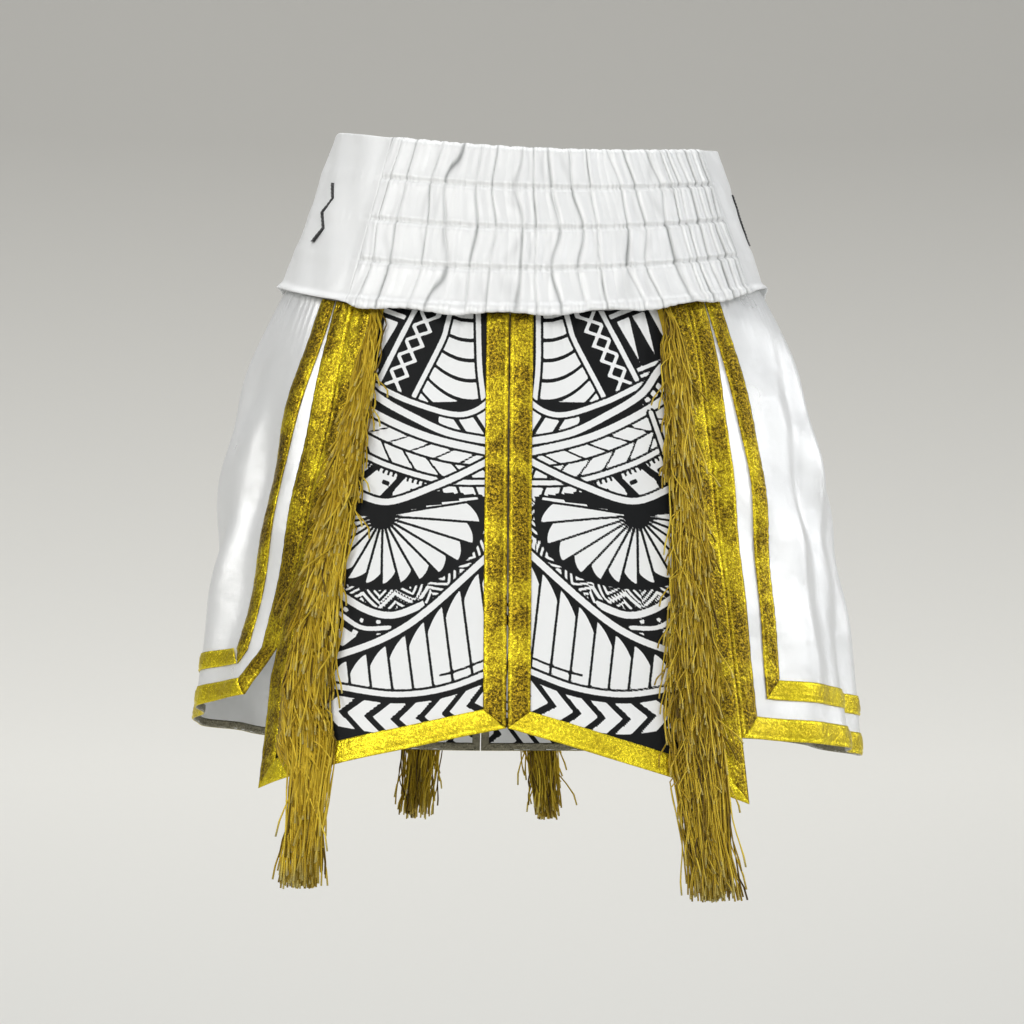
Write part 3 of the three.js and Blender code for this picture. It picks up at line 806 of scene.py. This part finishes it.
def fold_profile(wrapped, width):
    """Distances in from the edge, and heights out from the cloth, once across a strip."""
    share = np.linspace(0, 1, 13)
    top = 0.0009 + 0.0007 * np.sin(np.pi * share) ** 0.35
    top = top - 0.0005 * np.exp(-((share * width - (width - 0.0016)) / 0.0006) ** 2)
    top = top - 0.0005 * np.exp(-((share * width - 0.0022) / 0.0006) ** 2)
    inset = share * width
    if wrapped:
        around = np.linspace(0, np.pi, 7)[1:]
        inset = np.concatenate([inset[::-1], -0.0007 * np.sin(around), np.linspace(0.001, width * 0.35, 5)])
        top = np.concatenate([top[::-1], 0.0001 + 0.0009 * np.cos(around), np.full(5, -0.0009)])
    return inset, top


def make_strip(node, flap, kind, start_inset, width, wrapped, material, until=1.0):
    inset, height = fold_profile(wrapped, width)
    count = 200 if kind != "hem" else 130
    share, inset = np.meshgrid(np.linspace(0, until, count), inset, indexing="ij")
    # Painted highlight: the hems are brighter all over, and a bright rib runs along both edges of every
    # strip.
    painted_highlight = (1.2 if kind == "hem" else 0.0) + 0.8 * np.exp(-((inset - 0.0012) / 0.0007) ** 2)
    painted_highlight = painted_highlight + 0.8 * np.exp(-((width - 0.0010 - inset) / 0.0007) ** 2)
    height = np.broadcast_to(height, inset.shape)
    if kind == "hem":
        across, down = along_hem(flap, start_inset(1.0) + inset, share)
    else:
        across, down = along_side(flap, kind == "end", start_inset(share) + inset,
                                  start_inset(1.0) + inset, share)
    angle, z = panel_spot(flap, across, down)
    rough = crinkle(angle, z, len(node)) * np.clip(height / 0.0009, 0.2, 1)
    skin = drape(angle, z) + CLOTH_OUT
    outer = on_body(angle, z, skin + height + rough)
    thin = np.where(height > 0.0002, -0.0005, 0.0003)
    inner = on_body(angle, z, skin + height + rough + thin)
    # The inside mark picks out the folded-under part, which the foil paints with shade.
    marks = {"tone": 0.6 + 0 * height, "inside": np.where(height < -0.0001, 1.0, 0.0), "painted_highlight": painted_highlight}
    strip = sew_cloth(node + "_tape", outer, inner, marks=marks)
    strip.data.materials.append(material)
    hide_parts(node)
    hang(strip)
    return strip


flush = lambda share: 0.0 * share
for flap in OUTLINES:
    first, last = ("front", "back") if flap.startswith("side") else ("outer", "centre")
    for kind, label in (("start", first), ("end", last), ("hem", "hem")):
        binding = make_strip(f"{flap}_{label}_binding", flap, kind, flush, BINDING_WIDTH, True,
                             gold_foil)
        flat_size(binding)

stripe_inset = lambda share: BINDING_WIDTH + mix(0.0015, 0.013, smooth_step(share, 0, 0.5))
for flap in ("side_left", "side_right"):
    for kind, label in (("start", "front"), ("end", "back"), ("hem", "hem")):
        stripe = make_strip(f"{flap}_{label}_stripe", flap, kind, stripe_inset, STRIPE_WIDTH, False,
                            gold_foil)
        flat_size(stripe)


# ---------------- fringes
# A woven header tape beside each slit's binding, and a thick column of gold threads along it.
# The threads start all the way down the tape, lie down on the panel and end in a ragged brush.
def thread_material():
    material, tree, shader = start_material(
        "gold_thread", Metallic=0.25, Sheen_Weight=0.08, Sheen_Roughness=0.3,
        Anisotropic=0.5, Specular_IOR_Level=0.4)
    tone = tree.nodes.new("ShaderNodeAttribute")
    tone.attribute_name = "tone"
    tip = tree.nodes.new("ShaderNodeAttribute")
    tip.attribute_name = "tip"
    # Low tones run down to a near-black brown. This serves both as random strand tone and as painted shade
    # on the lower threads.
    low = blend_colour(tree, spread(tree, tone.outputs["Fac"], 0, 0.5),
                       (0.10, 0.058, 0.003, 1), (0.56, 0.37, 0.010, 1))
    gold = blend_colour(tree, spread(tree, tone.outputs["Fac"], 0.5, 1), low, (0.96, 0.72, 0.06, 1))
    worn = calc(tree, "MULTIPLY", tip.outputs["Fac"], spread(tree, tone.outputs["Fac"], 0.4, 0.9))
    tree.links.new(blend_colour(tree, worn, gold, (0.72, 0.62, 0.24, 1)), shader.inputs["Base Color"])
    shader.inputs["Roughness"].default_value = 0.38
    twist = weave_height(tree, 900, 1.0)
    tree.links.new(raise_surface(tree, twist, 0.0002, 0.6), shader.inputs["Normal"])
    return material


gold_thread = thread_material()
FRINGES = {"front_left": (0.032, 0.018, -0.549, 1300), "front_right": (0.042, 0.004, -0.558, 1350),
           "back_left": (0.034, 0.006, -0.486, 620), "back_right": (0.034, 0.006, -0.486, 620)}


def build_threads(name, paths, radius, tone, tip):
    """Three-sided tubes along many paths at once; paths is (threads, points, 3)."""
    count, points = paths.shape[:2]
    ahead = np.gradient(paths, axis=1)
    ahead /= np.linalg.norm(ahead, axis=2, keepdims=True) + 1e-9
    outward = paths * np.array([1, 1, 0])
    outward /= np.linalg.norm(outward, axis=2, keepdims=True)
    sideways = np.cross(ahead, outward)
    sideways /= np.linalg.norm(sideways, axis=2, keepdims=True) + 1e-9
    outward = np.cross(sideways, ahead)
    ring = [paths + radius[..., None] * (np.cos(a) * outward + np.sin(a) * sideways)
            for a in (0, 2.094, 4.189)]
    vertices = np.stack(ring, axis=2).reshape(-1, 3)
    base = (np.arange(count)[:, None, None] * points + np.arange(points - 1)[None, :, None]) * 3
    corner = np.arange(3)[None, None, :]
    after = (corner + 1) % 3
    quads = np.stack([base + corner, base + after, base + 3 + after, base + 3 + corner], -1)
    first = np.arange(count) * points * 3
    final = first + (points - 1) * 3
    faces = quads.reshape(-1, 4)
    triangles = np.concatenate([np.stack([faces[:, 0], faces[:, 1], faces[:, 2]], 1),
                                np.stack([faces[:, 0], faces[:, 2], faces[:, 3]], 1),
                                np.stack([first, first + 2, first + 1], 1),
                                np.stack([final, final + 1, final + 2], 1)])
    if enclosed_volume(vertices, triangles) < 0:
        triangles = triangles[:, ::-1]
    along = np.linalg.norm(np.diff(paths, axis=1), axis=2).cumsum(axis=1)
    along = np.concatenate([np.zeros((count, 1)), along], axis=1)
    uv = np.stack([np.repeat(along, 3, axis=1).ravel(), np.tile([0, 0.0007, 0.0014], count * points)], 1)
    marks = {"tone": np.repeat(tone, 3, axis=1), "tip": np.repeat(tip, 3, axis=1)}
    return build_mesh(name, vertices, triangles, uv, marks)


def make_fringe(flap):
    width_at_hem, shift, tail_end, count = FRINGES[flap]
    chance = np.random.default_rng(sum(map(ord, flap)))
    start, end, hem_start, hem_end = OUTLINES[flap]
    seam = float(seam_height(start(-BAND_HEIGHT)))
    tall = seam - hem_start

    # Where each thread is sewn on, how far down its loose end comes, and its place across.
    rise = np.sort(chance.uniform(0.0, 0.99 - 4 * shift, count)) ** 0.95
    strand = np.floor(rise * 90) + chance.integers(-1, 2, count)
    lane = chance.uniform(0, 1, count)
    lane = lane * 0.6 + 0.4 * chance.uniform(0, 1, 110)[(strand % 110).astype(int)]
    top_z = seam - rise * tall
    end_z = top_z - chance.uniform(0.045, 0.095, count)
    brush = tail_end + chance.exponential(0.017, count) + 0.003
    end_z = np.where(rise > 0.76 * rise.max(), np.minimum(end_z + 0.03, brush), end_z)
    end_z = np.maximum(end_z, tail_end + 0.002)

    share = np.linspace(0, 1, 13)
    z = top_z[:, None] + (end_z - top_z)[:, None] * share
    fallen = np.clip((seam - z) / tall, 0, 1.25)
    spread_out = mix(0.016, width_at_hem + 0.002, np.clip(fallen * 1.15, 0, 1))
    spread_out = spread_out * (1 - 0.30 * smooth_step(fallen, 0.90, 1.2))
    drift = 0.0120 + shift * smooth_step(fallen, 0.5, 1.0)
    settle = smooth_step(share, 0, 0.35)
    root = 0.0175 + 0.003 * chance.uniform(-1, 1, count)
    inset = mix(root[:, None] + 0 * z, drift + spread_out * lane[:, None], settle)
    swing = chance.uniform(0.5, 1.9, count)[:, None]
    wobble = np.sin(share * 6.28 * swing + chance.uniform(0, 6.28, count)[:, None])
    inset = inset + 0.0020 * settle * wobble * chance.uniform(0.3, 1, count)[:, None]
    fly = chance.uniform(0, 1, count) > 0.80
    away = np.where(fly, chance.normal(0, 0.008, count), chance.normal(0, 0.0034, count))
    inset = inset + away[:, None] * smooth_step(share, 0.5, 1.0) ** 1.5
    layer = 0.0020 + 0.0052 * chance.uniform(0, 1, count) ** 1.1
    lift = 0.0014 + (layer[:, None] - 0.0014) * smooth_step(share, 0, 0.25)
    lift = lift + 0.0008 * wobble * settle + np.where(fly, 0.005, 0.0012)[:, None] * share ** 3

    down = np.clip((seam - z) / tall, 0, 1)
    across = inset * per_length(flap, np.zeros(down.shape), np.clip(down, 0.02, 0.98))[0]
    angle, _ = panel_spot(flap, across, down)
    level = np.maximum(z, hem_start)
    spot = on_body(angle, level, lift + CLOTH_OUT + drape(angle, level))
    paths = np.concatenate([spot[..., :2], z[..., None]], axis=-1)
    thickness = np.full(paths.shape[:2], 0.00058) * np.where(share > 0.90, 1.3, 1.0)
    # Each thread's tone is a random shade of gold per strand and along it, and darker towards the roots. On
    # top of that, painted shade makes the threads that lie lower, nearer the panel, darker.
    tone = (0.50 + 0.18 * np.sin(strand * 2.4)[:, None] + chance.normal(0, 0.20, count)[:, None]
            + 0.12 * (share - 0.4)
            + (layer[:, None] - 0.0045) * 80 + 0.12 * np.sin(share * 11 + strand[:, None]))
    tip = smooth_step(share, 0.90, 1.0) * np.ones((count, 1))
    return paths, thickness, np.clip(tone, 0, 1), tip, end_z < hem_start - 0.010


for flap in FRINGES:
    tape = make_strip(f"{flap}_fringe_tape", flap, "start", lambda share: BINDING_WIDTH + 0.0004 + 0 * share,
                      TAPE_WIDTH, False, gold_thread,
                      until=0.86 if flap == "front_left" else 1.0)
    flat_size(tape)
    paths, thickness, tone, tip, hanging = make_fringe(flap)
    for node, chosen in ((f"{flap}_fringe", ~hanging), (f"{flap}_fringe_tail", hanging)):
        threads = build_threads(node + "_threads", paths[chosen], thickness[chosen],
                                tone[chosen], tip[chosen])
        threads.data.materials.append(gold_thread)
        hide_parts(node)
        if node.endswith("tail"):
            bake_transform(threads)
        else:
            hang(threads)


# ---------------- lining and elastics
# A cotton lining closes the back of the band, and four ribbed elastics run inside its channels.
def plain_material(name, tint, threads_per_metre, roughness):
    material, tree, shader = start_material(
        name, Roughness=roughness, Sheen_Weight=0.25, Sheen_Roughness=0.5, Specular_IOR_Level=0.3)
    soft = noise(tree, object_place(tree), 30, 3)
    worn = tuple(channel * 0.88 for channel in tint[:3]) + (1,)
    tree.links.new(blend_colour(tree, soft, tint, worn), shader.inputs["Base Color"])
    threads = weave_height(tree, threads_per_metre, 0.8)
    crumple = raise_surface(tree, noise(tree, object_place(tree), 110, 3), 0.0012, 0.5)
    tree.links.new(raise_surface(tree, threads, 0.00012, 0.7, crumple), shader.inputs["Normal"])
    return material


# The lining is painted grey: painted shade standing in for pale cloth in the shade inside the trunks.
lining_cloth = plain_material("lining", (0.62, 0.61, 0.585, 1), 1500, 0.75)
elastic_cloth = plain_material("elastic", (0.80, 0.80, 0.78, 1), 900, 0.7)

angle, share = np.meshgrid(np.linspace(0, 360, 481)[:-1], np.linspace(0, 1, 49))
rows_in = share * 4 - np.floor(share * 4)
gather = 0.0005 * gather_share(angle) * np.sin(np.pi * rows_in)
gather = gather * ridges(np.radians(angle) * 0.135, 0.0066, 61)
lining = sew_cloth("waistband_lining_cloth", on_band(angle, share, 0.0005 - gather),
                   on_band(angle, share, -0.0008 - gather), looped=True)
lining.data.materials.append(lining_cloth)
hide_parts("waistband_lining")
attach(lining, "waistband")
flat_size(lining)

ELASTIC_HEIGHT = 0.022
for number in range(4):
    reach = ELASTIC_HEIGHT / 2 / (BAND_HEIGHT + 0.020 - 0.006)
    middle = (number + 0.5) / 4
    around = np.linspace(0, 360, 361)[:-1]
    angle, share = np.meshgrid(around, np.linspace(middle - reach, middle + reach, 17))
    rib = 0.0002 * np.abs(np.sin((share - middle) / reach * 3.14159 * 4))
    elastic = sew_cloth(f"elastic_{number + 1}_web", on_band(angle, share, 0.0025 + rib),
                        on_band(angle, share, 0.0011 - 0 * rib), looped=True)
    elastic.data.materials.append(elastic_cloth)
    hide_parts(f"elastic_{number + 1}")
    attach(elastic, "waistband")
    flat_size(elastic)


# ---------------- inner shorts
# Two short legs in lining cloth, each of a front and a back piece, with a turned hem.
def leg_spot(side, facing, across, down, out):
    body_angle = side * (180 - 90 * across if facing > 0 else 90 * across)
    top = seam_height(body_angle) - 0.0004
    settle = smooth_step(down, 0, 0.5)
    width = mix(swell(top, WAIST_HALF_WIDTH, HIP_HALF_WIDTH, 0.026, 0.127) - 0.0008, 0.172, settle)
    depth = mix(swell(top, WAIST_HALF_DEPTH, HIP_HALF_DEPTH, 0.012, 0.11) - 0.0008, 0.100, settle)
    opening = np.radians(90 + 90 * smooth_step(down, 0.2, 0.65))
    radius = width / (1 - np.cos(opening))
    section = opening * (1 - across)
    z = mix(top, -0.325, down)
    soft = 0.0016 * smooth_step(down, 0.1, 0.5) * (np.sin(section * 7 + z * 9) - 1)
    x = width - radius + (radius + out + soft) * np.cos(section) + 0.0002
    y = (depth + out + soft) * np.sin(section) + 0.0002
    return np.stack([side * x, facing * y, z], axis=-1)


for face, facing in (("front", -1), ("back", 1)):
    for hand, side in (("left", -1), ("right", 1)):
        across, down = np.meshgrid(np.linspace(0.001, 0.999, 64), np.linspace(0, 1, 64))
        turned_hem = 0.0007 * smooth_step(down, 0.930, 0.935)
        leg = sew_cloth(f"inner_{face}_{hand}_cloth", leg_spot(side, facing, across, down, turned_hem),
                        leg_spot(side, facing, across, down, -0.0008))
        leg.data.materials.append(lining_cloth)
        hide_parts(f"inner_{face}_{hand}")
        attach(leg, "waistband")
        flat_size(leg)


# ---------------- side marks
# A zigzag of close satin stitches in black thread on each flat side of the band.
embroidery = plain_material("black_embroidery", (0.012, 0.012, 0.013, 1), 2200, 0.45)
for hand, middle in (("left", -64), ("right", 82)):
    down, across = np.meshgrid(np.linspace(0, 1, 161), np.linspace(-0.5, 0.5, 11), indexing="ij")
    wave = 1 - np.abs((down * 4) % 2 - 1)
    shift = 0.007 * (wave - 0.5) + 0.0034 * across
    angle = middle + np.degrees(shift / HIP_HALF_DEPTH)
    share = 0.5 + (down - 0.5) * (0.040 / BAND_HEIGHT)
    padding = 0.0009 * np.sqrt(np.clip(1 - (2 * across) ** 2, 0, 1)) + 0.00015 * np.sin(down * 900)
    cloth = BAND_OUT + band_puff(angle, share)[0]
    mark = sew_cloth(f"side_mark_{hand}_stitches", on_band(angle, share, cloth + 0.0004 + padding),
                     on_band(angle, share, cloth - 0.0004))
    mark.data.materials.append(embroidery)
    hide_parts(f"side_mark_{hand}")
    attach(mark, "waistband")
